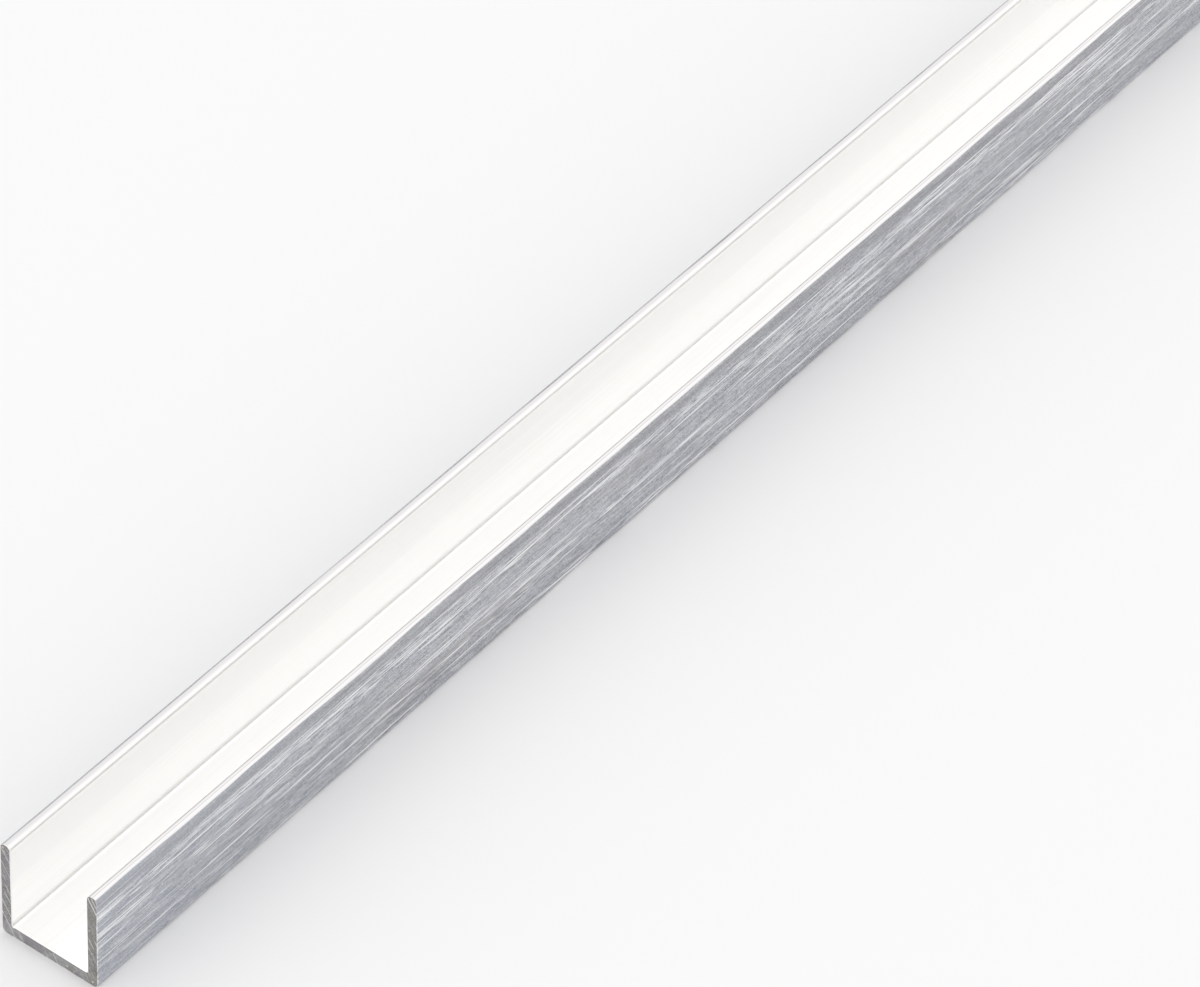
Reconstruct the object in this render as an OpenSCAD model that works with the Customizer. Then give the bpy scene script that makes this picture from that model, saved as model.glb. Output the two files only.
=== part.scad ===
// U-shaped aluminium extrusion, sawn to stock length and lying on its web with the open side up.
// Origin: middle of the underside. X runs across the flanges, Y along the bar, Z up. Millimetres.

/* [Section] */
// Outside width, across the two flanges
outer_width = 10; // [6:0.5:40]
// Outside height, from the underside of the web to the flange tips
outer_height = 10; // [6:0.5:40]
// Wall thickness of the two flanges
flange_thickness = 1; // [0.6:0.1:2]
// Wall thickness of the web between them
web_thickness = 1; // [0.6:0.1:2]

/* [Edges] */
// Radius of the two outside corners, where a flange turns into the web
corner_radius = 0.5; // [0.1:0.05:0.6]
// Radius of the fillets in the two inside corners of the slot
fillet_radius = 0.3; // [0.1:0.05:0.8]
// Radius of the two edges of each flange tip
tip_radius = 0.4; // [0.1:0.05:1]

/* [Length] */
// Length of the bar, between its two sawn ends
bar_length = 1000; // [100:10:3000]

/* [Hidden] */
// Clear slot between the flanges
slot_width = outer_width - 2 * flange_thickness;
// A tip keeps a flat of a tenth of its wall between its two rounded edges
tip_flat_share = 0.1;
tip_edge_radius = min(tip_radius, flange_thickness * (1 - tip_flat_share) / 2);
// Sides of a full circle
$fn = 64;

// The sliver between a square corner at the origin, which opens towards +X and +Y, and an arc of
// the given radius that meets both of its sides. A rounding takes it away and a fillet adds it.
module corner_sliver(radius) {
  difference() {
    square(radius);
    translate([radius, radius])
      circle(radius);
  }
}

// Copies its child, which lies on the +X side, to the -X side as well
module on_both_sides() {
  children();
  mirror([1, 0])
    children();
}

// Rectangle around the whole section, with rounded corners at the foot and rounded tip edges at the top
module outer_outline() {
  difference() {
    translate([-outer_width / 2, 0])
      square([outer_width, outer_height]);
    on_both_sides()
      translate([outer_width / 2, 0])
        mirror([1, 0])
          corner_sliver(corner_radius);
    on_both_sides()
      translate([outer_width / 2, outer_height])
        rotate(180)
          corner_sliver(tip_edge_radius);
  }
}

// The slot between the flanges, with filleted corners on its floor
module slot_outline() {
  difference() {
    translate([-slot_width / 2, web_thickness])
      square([slot_width, outer_height]);
    on_both_sides()
      translate([slot_width / 2, web_thickness])
        mirror([1, 0])
          corner_sliver(fillet_radius);
  }
}

// What is rounded off the inner edge of each flange tip
module tip_inner_edges() {
  on_both_sides()
    translate([slot_width / 2, outer_height])
      mirror([0, 1])
        corner_sliver(tip_edge_radius);
}

// The U that comes out of the die
module u_section() {
  difference() {
    outer_outline();
    slot_outline();
    tip_inner_edges();
  }
}

// The bar, one extruded piece with square-sawn ends
module u_profile() {
  color([0.77, 0.78, 0.79])
    rotate([90, 0, 0])
      linear_extrude(height = bar_length, center = true)
        u_section();
}

u_profile();
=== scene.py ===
import math

import bpy
import numpy as np
from mathutils import Matrix, Vector


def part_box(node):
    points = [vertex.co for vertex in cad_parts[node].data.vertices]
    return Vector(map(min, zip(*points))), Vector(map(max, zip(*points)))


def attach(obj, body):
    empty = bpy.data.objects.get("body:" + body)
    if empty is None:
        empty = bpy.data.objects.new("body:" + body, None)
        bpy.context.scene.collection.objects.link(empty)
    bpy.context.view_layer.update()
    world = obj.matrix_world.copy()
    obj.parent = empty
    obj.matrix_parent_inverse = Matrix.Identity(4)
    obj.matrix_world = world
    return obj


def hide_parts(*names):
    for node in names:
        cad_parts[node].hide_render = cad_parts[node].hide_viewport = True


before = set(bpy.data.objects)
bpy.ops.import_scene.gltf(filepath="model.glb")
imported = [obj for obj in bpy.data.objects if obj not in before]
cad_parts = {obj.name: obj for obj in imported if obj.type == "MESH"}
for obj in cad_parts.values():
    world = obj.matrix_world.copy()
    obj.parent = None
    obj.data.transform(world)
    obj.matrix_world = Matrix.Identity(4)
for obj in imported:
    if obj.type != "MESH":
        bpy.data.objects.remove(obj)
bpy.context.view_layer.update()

# The bar
# One piece of aluminium, pressed hot through a U-shaped die, so that its section is the same all along it.
# Its ends were cut on a circular saw and left as the blade left them.
MM = 0.001
BAR_NODE = "u_profile"
bar_low, bar_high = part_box(BAR_NODE)
WIDTH = bar_high.x - bar_low.x
HEIGHT = bar_high.z - bar_low.z
NEAR_END, FAR_END = bar_low.y, bar_high.y
LENGTH = FAR_END - NEAR_END
WALL = 1.0 * MM
CORNER_RADIUS = 0.5 * MM
FILLET_RADIUS = 0.3 * MM
TIP_RADIUS = 0.4 * MM
CUT_BEVEL = 0.035 * MM
# Rings of the mesh behind each cut, ever further apart
END_STEPS = np.array((0, 0.012, 0.035, 0.1, 0.3, 0.8, 2, 5, 12, 30)) * MM
# Rings between those of the two ends. The count is odd, so that one ring stands at mid-length.
MIDDLE_RINGS = 13
# Cells of the mesh along each stretch of one side of the section, and through the wall
TIP_CELLS, FLANGE_CELLS, CORNER_CELLS, WEB_CELLS, WALL_CELLS = 12, 180, 16, 180, 20


def line(start, end, cells):
    """Points at even steps from start towards end, without the end itself."""
    share = np.arange(cells)[:, None] / cells
    return np.array(start) * (1 - share) + np.array(end) * share


def arc(centre, radius, start, end, cells):
    """Points at even angles, in degrees, round centre from start towards end, without the end itself."""
    angle = np.radians(start + (end - start) * np.arange(cells) / cells)
    return np.array(centre) + radius * np.stack([np.cos(angle), np.sin(angle)], 1)


def outer_side():
    """The outside of the U: from the left tip's flat down that flange, along the underside, and up the other
    flange to the right tip's flat."""
    half = WIDTH / 2
    low, high = CORNER_RADIUS, HEIGHT - TIP_RADIUS
    return np.concatenate([
        arc((TIP_RADIUS - half, high), TIP_RADIUS, 90, 180, TIP_CELLS),
        line((-half, high), (-half, low), FLANGE_CELLS),
        arc((CORNER_RADIUS - half, low), CORNER_RADIUS, 180, 270, CORNER_CELLS),
        line((CORNER_RADIUS - half, 0), (half - CORNER_RADIUS, 0), WEB_CELLS),
        arc((half - CORNER_RADIUS, low), CORNER_RADIUS, 270, 360, CORNER_CELLS),
        line((half, low), (half, high), FLANGE_CELLS),
        arc((half - TIP_RADIUS, high), TIP_RADIUS, 0, 90, TIP_CELLS),
        [(half - TIP_RADIUS, HEIGHT)],
    ])


def inner_side():
    """The slot's side of the U, from the left tip's flat to the right one, in step with outer_side."""
    half = WIDTH / 2 - WALL
    low, high = WALL + FILLET_RADIUS, HEIGHT - TIP_RADIUS
    return np.concatenate([
        arc((-half - TIP_RADIUS, high), TIP_RADIUS, 90, 0, TIP_CELLS),
        line((-half, high), (-half, low), FLANGE_CELLS),
        arc((FILLET_RADIUS - half, low), FILLET_RADIUS, 180, 270, CORNER_CELLS),
        line((FILLET_RADIUS - half, WALL), (half - FILLET_RADIUS, WALL), WEB_CELLS),
        arc((half - FILLET_RADIUS, low), FILLET_RADIUS, 270, 360, CORNER_CELLS),
        line((half, low), (half, high), FLANGE_CELLS),
        arc((half + TIP_RADIUS, high), TIP_RADIUS, 180, 90, TIP_CELLS),
        [(half + TIP_RADIUS, HEIGHT)],
    ])


def ring_of(grid):
    """The border of a grid, once round: outer side, right tip's flat, slot's side, left tip's flat."""
    return np.concatenate([grid[:, 0], grid[-1, 1:], grid[-2::-1, -1], grid[0, -2:0:-1]])


def outward(ring):
    """Unit vectors out of the metal: the tangent, from each point's two neighbours, turned a quarter."""
    along = np.roll(ring, -1, 0) - np.roll(ring, 1, 0)
    along /= np.linalg.norm(along, axis=1)[:, None]
    return np.stack([along[:, 1], -along[:, 0]], 1)


# Lines of random heights run this far to either side
WANDER_REACH = 80 * MM


def wander(at, step, size, seed):
    """Random heights of about that size, a step apart, joined by straight runs and read at each place."""
    knots = np.arange(-WANDER_REACH, WANDER_REACH, step)
    return np.interp(at, knots, np.random.default_rng(seed).normal(0, size, len(knots)))


# Die lines: the die's own scratches, drawn out along the whole bar
DIE_LINE_STEP, DIE_LINE_HEIGHT, DIE_SEED = 0.12 * MM, 0.0012 * MM, 11
# Saw marks: arcs of the blade's rim, running down to the right on the near end
BLADE_RADIUS = 95 * MM
MARK_SLOPE = math.radians(62)
AXLE_X, AXLE_Z = -BLADE_RADIUS * math.sin(MARK_SLOPE), -BLADE_RADIUS * math.cos(MARK_SLOPE)
FINE_MARK_STEP, FINE_MARK_HEIGHT = 0.09 * MM, 0.004 * MM
COARSE_MARK_STEP, COARSE_MARK_HEIGHT = 0.45 * MM, 0.006 * MM
# The near cut leans back: this far for each unit of height
CUT_SLANT = 0.009
# Nicks: three deeper cuts across the outer corner of the right flange's tip
NICKS_AT = (8.20 * MM, 8.65 * MM, 9.03 * MM)
NICK_DEPTH, NICK_WIDTH = 0.05 * MM, 0.08 * MM
# The seed of each cut's saw marks, and whether it has the nicks
NEAR_CUT, FAR_CUT = (21, True), (31, False)


def across_marks(x, z):
    """How far a point lies across the saw marks: its distance from the blade's axle, less the radius."""
    return np.hypot(x - AXLE_X, z - AXLE_Z) - BLADE_RADIUS


def sawn_relief(x, z, seed, nicked):
    """Height of the cut face: fine and coarse lines on the blade's arcs, less a groove at each nick."""
    across = across_marks(x, z)
    relief = wander(across, FINE_MARK_STEP, FINE_MARK_HEIGHT, seed)
    relief += wander(across, COARSE_MARK_STEP, COARSE_MARK_HEIGHT, seed + 1)
    for place in NICKS_AT if nicked else ():
        relief -= NICK_DEPTH * np.exp(-((across - place) / NICK_WIDTH) ** 2)
    return relief


# The map that the finish is unrolled on: two rows of half the bar each, and over them a strip for each end
STRIP_SHARE, MAP_GAP = 0.022, 0.004
LEAST_RING_GAP = 0.5 * MM


def unrolled(station, around, along_strip, through_cells):
    """Places on the map for each corner of each face. A wall face lies in its half's row, by its share of the
    length and of the way around the section. An end's face lies in that end's strip, by its share along the
    wall and through it."""
    length = np.append(0, np.cumsum(np.maximum(np.diff(station), LEAST_RING_GAP)))
    length *= 2 / length[-1]
    row = (length[:-1] + length[1:] >= 2).astype(float)
    row_height = (1 - 2 * (STRIP_SHARE + MAP_GAP)) / 2
    u = np.stack([length[:-1], length[:-1], length[1:], length[1:]], -1) - row[:, None]
    share = around / around[-1] * (row_height - MAP_GAP)
    v = np.stack([share[:-1], share[1:], share[1:], share[:-1]], -1)
    wall_u = np.broadcast_to(u[:, None], (len(u), len(v), 4))
    wall_v = v[None] + row[:, None, None] * row_height
    corners = [np.stack([wall_u, wall_v], -1).reshape(-1)]
    run = along_strip / along_strip[-1]
    depth = np.arange(through_cells + 1) / through_cells * STRIP_SHARE
    cap_u = np.stack([run[:-1], run[:-1], run[1:], run[1:]], -1)[:, None]
    cap_v = np.stack([depth[:-1], depth[1:], depth[1:], depth[:-1]], -1)[None]
    for end in (0, 1):
        start = 2 * row_height + MAP_GAP + end * (STRIP_SHARE + MAP_GAP)
        cap = np.stack(np.broadcast_arrays(cap_u, start + cap_v), -1)
        corners.append((cap[:, :, ::-1] if end else cap).reshape(-1))
    return np.concatenate(corners)


def bar_mesh(name):
    """Carries the section's ring along the bar, with a small bevel at each cut, and closes each end with a
    grid of points from the outer side to the slot's side, raised and sunk by the saw marks."""
    through = np.linspace(0, 1, WALL_CELLS + 1)[None, :, None]
    section = outer_side()[:, None] * (1 - through) + inner_side()[:, None] * through
    ring = ring_of(section)
    normal = outward(ring)
    around = np.cumsum(np.linalg.norm(ring - np.roll(ring, 1, 0), axis=1))
    drawn = ring + normal * wander(around, DIE_LINE_STEP, DIE_LINE_HEIGHT, DIE_SEED)[:, None]

    inset = np.clip(1 - END_STEPS / CUT_BEVEL, 0, None) ** 2 * CUT_BEVEL
    middle = np.linspace(NEAR_END + END_STEPS[-1], FAR_END - END_STEPS[-1], MIDDLE_RINGS + 2)[1:-1]
    station = np.concatenate([NEAR_END + END_STEPS, middle, FAR_END - END_STEPS[::-1]])
    inset = np.concatenate([inset, 0 * middle, inset[::-1]])

    flat = drawn[None] - inset[:, None, None] * normal[None]
    lengthwise = np.broadcast_to(station[:, None], flat.shape[:2])
    wall = np.stack([flat[..., 0], lengthwise, flat[..., 1]], -1)
    slanted = np.clip(1 - (station - NEAR_END) / END_STEPS[-1], 0, 1)
    wall[..., 1] += CUT_SLANT * slanted[:, None] * wall[..., 2]
    wall[0, :, 1] -= sawn_relief(wall[0, :, 0], wall[0, :, 2], *NEAR_CUT)
    wall[-1, :, 1] += sawn_relief(wall[-1, :, 0], wall[-1, :, 2], *FAR_CUT)

    rings, count = wall.shape[:2]
    first = np.arange(count)
    following = np.roll(first, -1)
    start = count * np.arange(rings - 1)[:, None]
    beyond = start + count
    sides = np.stack([start + first, start + following, beyond + following, beyond + first], -1)

    core = section[1:-1, 1:-1]
    ends, faces = [], [sides.reshape(-1, 4)]
    for end, place, cut in ((0, NEAR_END, NEAR_CUT), (rings - 1, FAR_END, FAR_CUT)):
        relief = sawn_relief(core[..., 0], core[..., 1], *cut)
        depth = place + relief if end else place + CUT_SLANT * core[..., 1] - relief
        number = np.zeros(section.shape[:2], int)
        inside = np.arange(core[..., 0].size).reshape(core.shape[:2])
        number[1:-1, 1:-1] = rings * count + inside.size * len(ends) + inside
        border = end * count + first
        long, short = section.shape[:2]
        number[:, 0] = border[:long]
        number[-1, 1:] = border[long:long + short - 1]
        number[-2::-1, -1] = border[long + short - 1:2 * long + short - 2]
        number[0, -2:0:-1] = border[2 * long + short - 2:]
        cap = np.stack([number[:-1, :-1], number[:-1, 1:], number[1:, 1:], number[1:, :-1]], -1)
        cap = cap.reshape(-1, 4)
        faces.append(cap[:, ::-1] if end else cap)
        ends.append(np.stack([core[..., 0], depth, core[..., 1]], -1).reshape(-1, 3))

    mesh = bpy.data.meshes.new(name)
    mesh.from_pydata(np.concatenate([wall.reshape(-1, 3), *ends]), [], np.concatenate(faces))
    sawn = np.zeros(len(mesh.polygons), np.int32)
    sawn[len(faces[0]):] = 1
    mesh.polygons.foreach_set("material_index", sawn)
    mesh.polygons.foreach_set("use_smooth", np.ones(len(mesh.polygons), bool))
    strip = np.append(0, np.cumsum(np.linalg.norm(np.diff(section.mean(1), axis=0), axis=1)))
    layout = unrolled(station, np.append(0, around), strip, WALL_CELLS)
    mesh.uv_layers.new(name="OFBake").data.foreach_set("uv", layout)
    mesh.validate()
    return mesh


class Value:
    """A shader socket. An expression on values adds the Math nodes that work it out."""

    # Share of its reach over which a mask or a stroke is at full strength, and a stroke's least strength
    MASK_CORE, STROKE_CORE, LEAST_STROKE = 0.3, 0.6, 0.4

    def __init__(self, socket):
        self.socket = socket

    def node(self, kind, settings, sockets, output=0):
        """Adds a node of any kind to the tree: its settings first, then each socket's value or link."""
        tree = self.socket.id_data
        made = tree.nodes.new(kind)
        for name, setting in settings.items():
            setattr(made, name, setting)
        for key, given in sockets.items():
            if isinstance(given, Value):
                tree.links.new(given.socket, made.inputs[key])
            else:
                made.inputs[key].default_value = given
        return Value(made.outputs[output])

    def math(self, operation, *others):
        return self.node("ShaderNodeMath", {"operation": operation}, dict(enumerate((self, *others))))

    def __add__(self, other):
        return self.math("ADD", other)

    __radd__ = __add__

    def __sub__(self, other):
        return self.math("SUBTRACT", other)

    def __rsub__(self, other):
        return self.node("ShaderNodeMath", {"operation": "SUBTRACT"}, {0: other, 1: self})

    def __mul__(self, other):
        return self.math("MULTIPLY", other)

    __rmul__ = __mul__

    def __truediv__(self, other):
        return self.math("DIVIDE", other)

    def axes(self):
        """The three numbers of a coordinate."""
        return [self.node("ShaderNodeSeparateXYZ", {}, {0: self}, output=axis) for axis in range(3)]

    def clamped(self):
        """This number, held between 0 and 1."""
        return self.node("ShaderNodeClamp", {}, {0: self})

    def step(self, low, high):
        """0 below low and 1 above high, with a smooth rise between."""
        smooth = {"interpolation_type": "SMOOTHSTEP"}
        return self.node("ShaderNodeMapRange", smooth, {0: self, 1: low, 2: high})

    def near(self, middle, reach):
        """1 at middle, falling to 0 at that reach to either side."""
        return 1 - (self - middle).math("ABSOLUTE").step(self.MASK_CORE * reach, reach)

    def mix(self, start, end):
        """A colour that runs from start to end as this value runs from 0 to 1."""
        return self.node("ShaderNodeMix", {"data_type": "RGBA"}, {0: self, 6: start, 7: end}, output=2)

    def cells(self, across, along, lean=0.0):
        """This place, counted in cells of that size across and along the bar, leaning on the flanges."""
        return self.node("ShaderNodeMapping", {"vector_type": "TEXTURE"}, {
            "Vector": self, "Scale": (across, along, across), "Rotation": (lean, 0, 0)})

    def noise(self, detail=2.0):
        """Cloudy noise of about one cell, around 0."""
        return self.node("ShaderNodeTexNoise", {}, {"Vector": self, "Scale": 1.0, "Detail": detail}) - 0.5

    def scattered(self):
        """The distance to the nearest of one point in each cell, and that cell's random number."""
        away = self.node("ShaderNodeTexVoronoi", {}, {"Vector": self, "Scale": 1.0}, output="Distance")
        return away, Value(away.socket.node.outputs["Color"]).axes()[0]

    def strokes(self, reach):
        """A mark in each cell, of random strength up to 1, falling to 0 at that share of a cell."""
        away, strength = self.scattered()
        mark = 1 - away.step(self.STROKE_CORE * reach, reach)
        return mark * (self.LEAST_STROKE + (1 - self.LEAST_STROKE) * strength)


def new_finish(name):
    """An empty metal material: its Principled shader and its Object coordinates."""
    finish = bpy.data.materials.new(name)
    finish.use_nodes = True
    shader = finish.node_tree.nodes["Principled BSDF"]
    shader.inputs["Metallic"].default_value = 1.0
    place = Value(finish.node_tree.nodes.new("ShaderNodeTexCoord").outputs["Object"])
    return finish, shader, place


def feed(shader, socket, value):
    """Links a value to one of the shader's sockets."""
    shader.id_data.links.new(value.socket, shader.inputs[socket])


# Inside and on the tips the metal is bright, and the slot's near-white is partly painted light. Outside it
# was rubbed in handling: dull, with strokes and scratches, and its darker grey is painted shade, for the
# shaded floor that the outer faces reflect. The tips, which the lamp lights most, are given a darker colour
# than the slot, as painted shade. A cell is given by its size across and along the bar and, where it has one,
# its lean.
SHADED_DULL_DARK, SHADED_DULL_PALE = (0.285, 0.295, 0.33, 1), (0.67, 0.68, 0.715, 1)
SHADED_DULL_TONE = 0.16
GRAIN_CELL, GRAIN_WEIGHT = (0.09 * MM, 0.13 * MM), 3.0
HATCH_CELL, HATCH_WEIGHT = (0.13 * MM, 6.0 * MM, math.radians(0.3)), 0.55
DRIFT_CELL, DRIFT_WEIGHT = (1.4 * MM, 55 * MM), 0.50
FIBRE_CELL = 0.12 * MM, 5.0 * MM
# A darker and warmer band just under each tip, where the strokes fade
BAND_FROM, BAND_FULL = 8.60 * MM, 9.00 * MM
BAND_DARKER, BAND_WARMER, BAND_FADING = 0.17, 0.3, 0.8
# The dull skin is warmer in patches, and cooler over this length at each end
DULL_WARM, DULL_COOL = (0.42, 0.405, 0.405, 1), (0.47, 0.50, 0.555, 1)
WARM_CELL, WARM_FROM, WARM_FULL, WARM_SHARE = (2.0 * MM, 30 * MM), 0.0, 0.2, 0.45
COOL_LENGTH, COOL_SHARE = 45 * MM, 0.4
# Strokes lie in bundles, and most bundles in a strip below the band
RUBBED = (0.97, 0.97, 0.98, 1)
STRIP_AT, STRIP_REACH, STRIP_PULL = 7.95 * MM, 1.0 * MM, 0.14
BUNDLE_CELL, BUNDLE_FROM, BUNDLE_FULL = (0.7 * MM, 30 * MM), -0.02, 0.14
# Each kind of stroke: its cell, its reach in the cell, its strength, and the share of it outside the bundles
TICKS = (0.15 * MM, 2.4 * MM, math.radians(0.6)), 0.45, 1.2, 0.40
FINE_STROKES = (0.13 * MM, 6.0 * MM, math.radians(0.2)), 0.42, 1.3, 0.35
SHORT_STROKES = (0.22 * MM, 12 * MM, math.radians(-0.4)), 0.36, 1.5, 0.15
SCRATCHES = (0.42 * MM, 34 * MM, math.radians(1.2)), 0.20, 1.9, 1.0
LONG_SCRATCHES = (0.65 * MM, 110 * MM, math.radians(1.1)), 0.14, 2.0, 1.0
SPECKS = (0.8 * MM, 1.0 * MM), 0.16, 1.0, 0.0
# Scratches that run only around this height, where the band starts
HIGH_SCRATCHES = (0.25 * MM, 32 * MM, math.radians(0.8)), 0.32, 2.0, 0.0
HIGH_AT, HIGH_REACH = 8.35 * MM, 0.7 * MM
# The slot has faint streaks, and is a little shaded around this height
SLOT_BRIGHT, SLOT_SHADE = (0.98, 0.975, 0.965, 1), (0.94, 0.936, 0.93, 1)
STREAK_CELL, THIN_STREAK_CELL, THIN_STREAK_WEIGHT = (0.45 * MM, 45 * MM), (0.16 * MM, 22 * MM), 0.7
SHADED_AT, SHADED_REACH, SHADED_WEIGHT = 7.6 * MM, 2.8 * MM, 0.4
SHADE_FROM, SHADE_FULL = -0.05, 0.38
# The tips have hairlines, and darker lines: each one's place, reach and strength. Two lie on the right tip:
# one on its inner rounding, which is painted shade, and one on its flat. A broad one lies on the left tip.
TIP_BRIGHT, TIP_LINE_AND_SHADE = (0.79, 0.775, 0.775, 1), (0.52, 0.50, 0.495, 1)
TIP_LINES_AND_SHADE = ((4.19 * MM, 0.07 * MM, 1.0), (4.50 * MM, 0.06 * MM, 0.7), (-4.50 * MM, 0.28 * MM, 0.4))
HAIRLINE_CELL, HAIRLINE_FULL, HAIRLINE_STRENGTH = (0.06 * MM, 80 * MM), 0.3, 0.25
# Where the tips' finish starts: by height, and across the bar on the inner rounding of each tip
TIP_FROM, TIP_FULL = HEIGHT - 0.32 * MM, HEIGHT - 0.22 * MM
RIGHT_TIP_FROM, RIGHT_TIP_FULL = 4.09 * MM, 4.19 * MM
LEFT_TIP_FROM, LEFT_TIP_FULL = -4.16 * MM, -4.24 * MM
# Where the dull skin starts: unevenly on each tip's outer rounding, and low on the corners of the underside
RIGHT_DULL, LEFT_DULL, DULL_BLEND = 4.83 * MM, 4.70 * MM, 0.03 * MM
UNEVEN_CELL, UNEVEN_REACH = (1.0 * MM, 10 * MM), 0.26 * MM
UNDERSIDE_FROM, UNDERSIDE_FULL = 0.4 * MM, 0.2 * MM
# The burr at each cut is rubbed bright, except over the web, where the edge of the cut is a thin dark line.
BURR_FROM, BURR_FULL = FAR_END - 0.11 * MM, FAR_END - 0.05 * MM
BURR_CELL, BURR_SPREAD, BURR_STRENGTH = (0.5 * MM, LENGTH), 0.15, 0.85
DARK_CUT_EDGE = (0.22, 0.22, 0.225, 1)
DARK_EDGE_FROM, DARK_EDGE_FULL = FAR_END - 0.065 * MM, FAR_END - 0.045 * MM
WEB_FROM, WEB_FULL = -3.9 * MM, -3.7 * MM
# The dull skin is rougher than the bright one, and its fibres and drift stand out more
BRIGHT_ROUGHNESS, DULL_ROUGHER, FIBRE_SMOOTHER = 0.30, 0.1, 0.3
BUMP_STRENGTH, BUMP_HEIGHT, BRIGHT_BUMP = 0.3, 0.004 * MM, 0.1


def stroked(place, kind, where):
    """Strokes of one kind: full where the mask is 1, and the kind's share of that where it is 0."""
    cell, reach, strength, share = kind
    return place.cells(*cell).strokes(reach) * (share + (1 - share) * where) * strength


def mill_finish_and_shade():
    """Skin of the bar: bright inside, partly as painted light, and dulled outside, with strokes and scratches
    along it and a grey that is partly painted shade.
    """
    finish, shader, place = new_finish("mill_finish_and_shade")
    x, y, z = place.axes()
    along = y.math("ABSOLUTE") + CUT_SLANT * z

    grain = place.cells(*GRAIN_CELL).noise(1.0)
    fibre = place.cells(*FIBRE_CELL).noise()
    drift = place.cells(*DRIFT_CELL).noise()
    hatch = place.cells(*HATCH_CELL).scattered()[1]
    under_tip = z.step(BAND_FROM, BAND_FULL)
    # The outer faces' grey is partly painted shade: darker than the metal's own, for the shaded floor that
    # they reflect.
    tone = SHADED_DULL_TONE + GRAIN_WEIGHT * grain + HATCH_WEIGHT * hatch + DRIFT_WEIGHT * drift
    dull_and_shaded = (tone - BAND_DARKER * under_tip).clamped().mix(SHADED_DULL_DARK, SHADED_DULL_PALE)
    warmth = WARM_SHARE * place.cells(*WARM_CELL).noise(1.0).step(WARM_FROM, WARM_FULL)
    dull_and_shaded = warmth.math("MAXIMUM", BAND_WARMER * under_tip).mix(dull_and_shaded, DULL_WARM)
    dull_and_shaded = (COOL_SHARE * along.step(FAR_END - COOL_LENGTH, FAR_END)).mix(dull_and_shaded, DULL_COOL)

    strip = STRIP_PULL * z.near(STRIP_AT, STRIP_REACH)
    bundle = (strip + place.cells(*BUNDLE_CELL).noise()).step(BUNDLE_FROM, BUNDLE_FULL)
    rubbed = stroked(place, HIGH_SCRATCHES, z.near(HIGH_AT, HIGH_REACH))
    for kind in (TICKS, FINE_STROKES, SHORT_STROKES, SCRATCHES, LONG_SCRATCHES, SPECKS):
        rubbed = rubbed.math("MAXIMUM", stroked(place, kind, bundle))
    dull_and_shaded = (rubbed * (1 - BAND_FADING * under_tip)).mix(dull_and_shaded, RUBBED)

    # The slot's near-white is partly painted light, and the shaded stretch of its height is painted shade.
    faint = (place.cells(*STREAK_CELL).noise(3.0) + SHADED_WEIGHT * z.near(SHADED_AT, SHADED_REACH)
             + THIN_STREAK_WEIGHT * place.cells(*THIN_STREAK_CELL).noise())
    bright = faint.step(SHADE_FROM, SHADE_FULL).mix(SLOT_BRIGHT, SLOT_SHADE)
    tip_lines_and_shade = HAIRLINE_STRENGTH * place.cells(*HAIRLINE_CELL).noise(1.0).step(0.0, HAIRLINE_FULL)
    # The line on the right tip's inner rounding is painted shade.
    for line_at, reach, strength in TIP_LINES_AND_SHADE:
        tip_lines_and_shade = tip_lines_and_shade.math("MAXIMUM", strength * x.near(line_at, reach))
    right_tip = x.step(RIGHT_TIP_FROM, RIGHT_TIP_FULL)
    left_tip = 1 - x.step(LEFT_TIP_FULL, LEFT_TIP_FROM)
    on_tip = z.step(TIP_FROM, TIP_FULL) * (right_tip + left_tip)
    # The tips' colour is darker than the slot's, as painted shade where the lamp lights them most.
    bright = on_tip.mix(bright, tip_lines_and_shade.mix(TIP_BRIGHT, TIP_LINE_AND_SHADE))

    uneven = x + UNEVEN_REACH * place.cells(*UNEVEN_CELL).noise()
    right_skin = uneven.step(RIGHT_DULL - DULL_BLEND, RIGHT_DULL + DULL_BLEND)
    left_skin = 1 - uneven.step(-LEFT_DULL - DULL_BLEND, DULL_BLEND - LEFT_DULL)
    underside = 1 - z.step(UNDERSIDE_FULL, UNDERSIDE_FROM)
    outside = right_skin.math("MAXIMUM", left_skin).math("MAXIMUM", underside)
    skin = outside.mix(bright, dull_and_shaded)
    # Over the web the cut's edge is a thin dark line, with no burr.
    dark_edge = (1 - outside) * x.step(WEB_FROM, WEB_FULL)
    patchy = place.cells(*BURR_CELL).noise().step(-BURR_SPREAD, BURR_SPREAD)
    burr = along.step(BURR_FROM, BURR_FULL) * patchy * (1 - dark_edge)
    skin = (burr * BURR_STRENGTH).mix(skin, RUBBED)
    skin = (dark_edge * along.step(DARK_EDGE_FROM, DARK_EDGE_FULL)).mix(skin, DARK_CUT_EDGE)
    feed(shader, "Base Color", skin)
    feed(shader, "Roughness", BRIGHT_ROUGHNESS + outside * (DULL_ROUGHER - FIBRE_SMOOTHER * fibre))
    height = (fibre + drift) * (BRIGHT_BUMP + (1 - BRIGHT_BUMP) * outside)
    feed(shader, "Normal", place.node("ShaderNodeBump", {}, {
        "Strength": BUMP_STRENGTH, "Distance": BUMP_HEIGHT, "Height": height}))
    return finish


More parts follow.
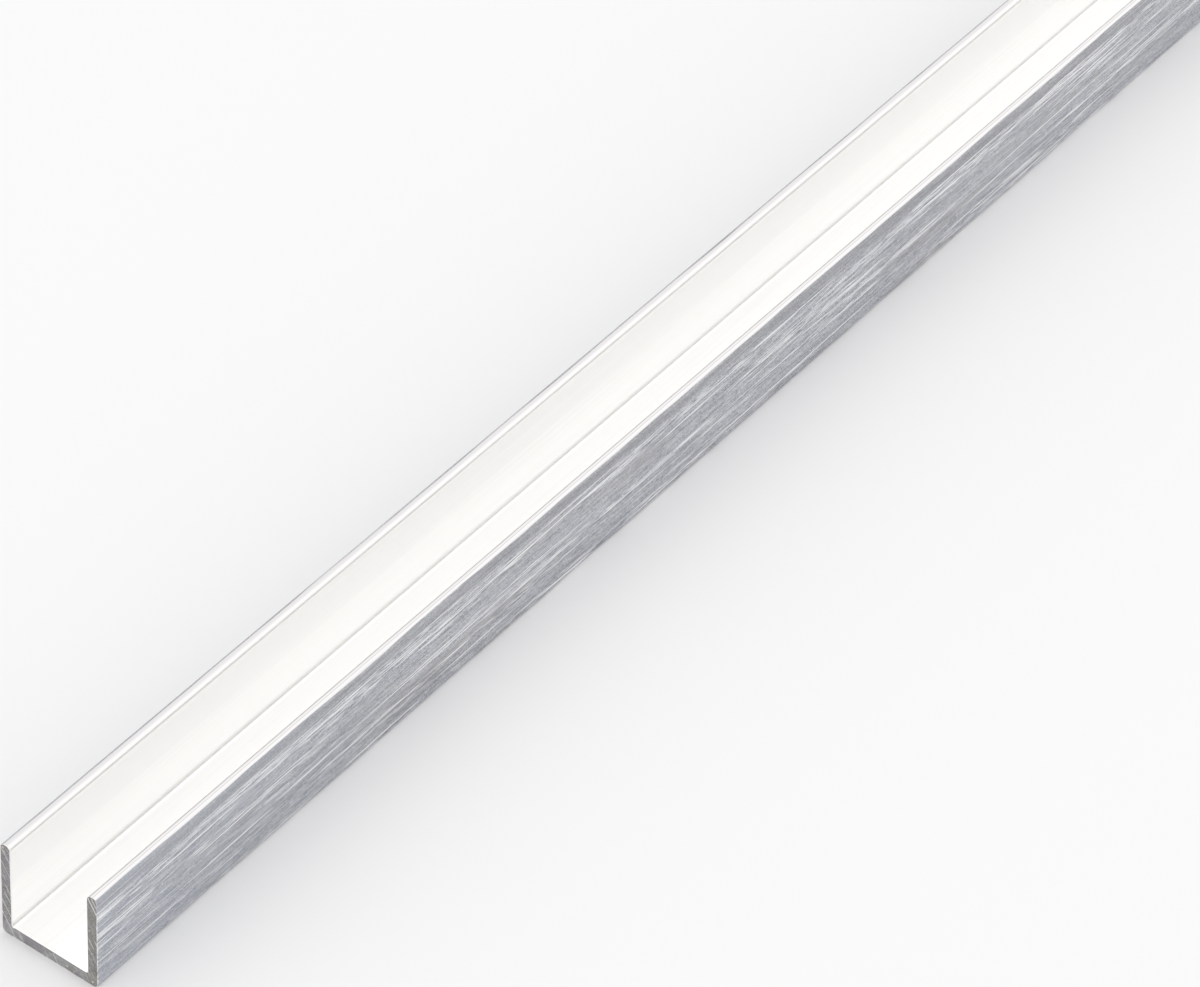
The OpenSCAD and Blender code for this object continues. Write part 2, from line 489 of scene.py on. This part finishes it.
# The cut ends are greyer than the skin, partly from their rough cut and partly as painted shade, for the near
# end that faces away from the light. They are paler along the web, and stained brownish or violet in patches
SHADED_SAWN_DARK, SHADED_SAWN_PALE = (0.20, 0.195, 0.19, 1), (0.50, 0.495, 0.50, 1)
SAWN_TONE, WEB_PALER = 0.35, 0.52
WEB_END_FROM, WEB_END_FULL = 1.6 * MM, 0.8 * MM
SAWN_GRAIN_CELL, SAWN_GRAIN_WEIGHT = (0.12 * MM, LENGTH), 2.0
SAWN_STAIN, SAWN_VIOLET = (0.30, 0.285, 0.25, 1), (0.30, 0.28, 0.315, 1)
STAIN_CELL, STAIN_SPREAD, STAIN_SHARE = (1.6 * MM, LENGTH), 0.15, 0.5
RIGHT_FLANGE_FROM, RIGHT_FLANGE_FULL = 3 * MM, 4 * MM
RIGHT_FLANGE_STAINED, WEB_CLEANER = 0.17, 0.10
# Fine marks and bright lines of the saw: a cell's size across and along the marks, and cells for each metre
# along the bar, so that each end has marks of its own
MARK_CELL, MARK_WEIGHT = (0.10 * MM, 2.2 * MM, 10.0), 1.9
BRIGHT_LINE_CELL, BRIGHT_LINE_REACH, BRIGHT_LINE_STRENGTH = (0.28 * MM, 3.0 * MM, 10.3), 0.24, 0.6
SAWN_LINE, SAWN_CHIP = (0.82, 0.82, 0.83, 1), (0.95, 0.95, 0.95, 1)
# Bright lines where teeth dragged, by place across the marks and strength: two between the nicks, and four
# on the left flange
DRAGS = ((8.45 * MM, 1.0), (8.86 * MM, 0.8),
         (0.75 * MM, 0.6), (-0.13 * MM, 0.45), (-2.5 * MM, 0.6), (-3.22 * MM, 0.7))
DRAG_REACH = 0.07 * MM
CHIP_CELL, CHIP_REACH = (0.8 * MM, LENGTH), 0.15
SAWN_ROUGHNESS, MARK_ROUGHER = 0.5, 0.2


def sawn_finish_and_shade():
    """Cut ends: greyer and rougher than the skin, the grey partly painted shade, with lines along the saw
    marks and a few bright chips.
    """
    finish, shader, place = new_finish("sawn_finish_and_shade")
    x, y, z = place.axes()
    across = ((x - AXLE_X) * (x - AXLE_X) + (z - AXLE_Z) * (z - AXLE_Z)).math("SQRT") - BLADE_RADIUS
    along = x * math.cos(MARK_SLOPE) - z * math.sin(MARK_SLOPE)
    marks, lines = (
        place.node("ShaderNodeCombineXYZ", {}, {0: across / width, 1: along / length, 2: y * per_metre})
        for width, length, per_metre in (MARK_CELL, BRIGHT_LINE_CELL))

    on_web = 1 - z.step(WEB_END_FULL, WEB_END_FROM)
    grain = place.cells(*SAWN_GRAIN_CELL).noise(1.0)
    tone = SAWN_TONE + WEB_PALER * on_web + MARK_WEIGHT * marks.noise() + SAWN_GRAIN_WEIGHT * grain
    # The cut's grey is partly painted shade.
    metal = tone.clamped().mix(SHADED_SAWN_DARK, SHADED_SAWN_PALE)
    on_right = x.step(RIGHT_FLANGE_FROM, RIGHT_FLANGE_FULL)
    stain = place.cells(*STAIN_CELL).noise(1.0) + RIGHT_FLANGE_STAINED * on_right - WEB_CLEANER * on_web
    metal = (STAIN_SHARE * stain.step(0.0, STAIN_SPREAD)).mix(metal, SAWN_STAIN)
    metal = (STAIN_SHARE * (1 - stain.step(-STAIN_SPREAD, 0.0))).mix(metal, SAWN_VIOLET)

    drags = BRIGHT_LINE_STRENGTH * lines.strokes(BRIGHT_LINE_REACH)
    for drag_at, strength in DRAGS:
        drags = drags.math("MAXIMUM", strength * across.near(drag_at, DRAG_REACH))
    metal = drags.mix(metal, SAWN_LINE)
    feed(shader, "Base Color", place.cells(*CHIP_CELL).strokes(CHIP_REACH).mix(metal, SAWN_CHIP))
    feed(shader, "Roughness", SAWN_ROUGHNESS + MARK_ROUGHER * marks.noise(1.0))
    return finish


bar = bpy.data.objects.new("u_profile_bar", bar_mesh("u_profile_bar"))
bpy.context.scene.collection.objects.link(bar)
bar.data.materials.append(mill_finish_and_shade())
bar.data.materials.append(sawn_finish_and_shade())
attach(bar, "root")
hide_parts(BAR_NODE)

# The floor
# A plain white sheet that the bar lies on. It is matt, and keeps the bar's shadow.
# It runs far past the bar, so that its edge never shows.
FLOOR_REACH = 60.0
FLOOR_WHITE = (0.90, 0.90, 0.90, 1)
floor_mesh = bpy.data.meshes.new("floor")
corners = FLOOR_REACH * np.array([(-1, -1, 0), (1, -1, 0), (1, 1, 0), (-1, 1, 0)])
floor_mesh.from_pydata(corners, [], [(0, 1, 2, 3)])
floor = bpy.data.objects.new("floor", floor_mesh)
bpy.context.scene.collection.objects.link(floor)
floor_paint = bpy.data.materials.new("floor_white")
floor_paint.use_nodes = True
floor_shader = floor_paint.node_tree.nodes["Principled BSDF"]
floor_shader.inputs["Base Color"].default_value = FLOOR_WHITE
floor_shader.inputs["Roughness"].default_value = 1.0
floor_shader.inputs["Specular IOR Level"].default_value = 0.0
floor_mesh.materials.append(floor_paint)

# The light
# A white room at a plain level, with one broad soft light above and behind the bar.
# Light goes many times between the slot's bright walls, so it may bounce more often than usual.
KEY_ANGLE = math.radians(70)
KEY_STRENGTH = 0.29
KEY_FROM = Vector((-0.08, 0.65, 0.76))
ROOM_WHITE = (1, 1, 1, 1)
SLOT_BOUNCES = 12
key_light = bpy.data.lights.new("key", "SUN")
key_light.angle = KEY_ANGLE
key_light.energy = KEY_STRENGTH
key = bpy.data.objects.new("key", key_light)
key.rotation_euler = KEY_FROM.to_track_quat("Z", "Y").to_euler()
bpy.context.scene.collection.objects.link(key)
room = bpy.data.worlds.new("room")
room.use_nodes = True
room.node_tree.nodes["Background"].inputs["Color"].default_value = ROOM_WHITE
bpy.context.scene.world = room
bpy.context.scene.cycles.glossy_bounces = SLOT_BOUNCES

# The camera
# A long lens that looks down the bar from its right, as the photograph was taken.
# Its place is counted from the middle of the near end's underside.
CAMERA_FROM_END = Vector((208.59 * MM, -227.44 * MM, 335.10 * MM))
CAMERA_AZIMUTH, CAMERA_ELEVATION, CAMERA_ROLL = (math.radians(a) for a in (34.79, 42.61, 3.37))
CAMERA_LENS, CAMERA_SENSOR = 170.28, 36.0
back = Vector((
    math.sin(CAMERA_AZIMUTH) * math.cos(CAMERA_ELEVATION),
    -math.cos(CAMERA_AZIMUTH) * math.cos(CAMERA_ELEVATION),
    math.sin(CAMERA_ELEVATION),
))
level = Vector((0, 0, 1)).cross(back).normalized()
right = Matrix.Rotation(-CAMERA_ROLL, 3, -back) @ level
lens = bpy.data.cameras.new("camera")
lens.lens, lens.sensor_width, lens.sensor_fit = CAMERA_LENS, CAMERA_SENSOR, "HORIZONTAL"
camera = bpy.data.objects.new("camera", lens)
camera.matrix_world = Matrix.Translation(CAMERA_FROM_END + Vector((0, NEAR_END, 0))) @ Matrix(
    (right, back.cross(right), back)).transposed().to_4x4()
bpy.context.scene.collection.objects.link(camera)
bpy.context.scene.camera = camera
bpy.context.scene.view_settings.view_transform = "Standard"
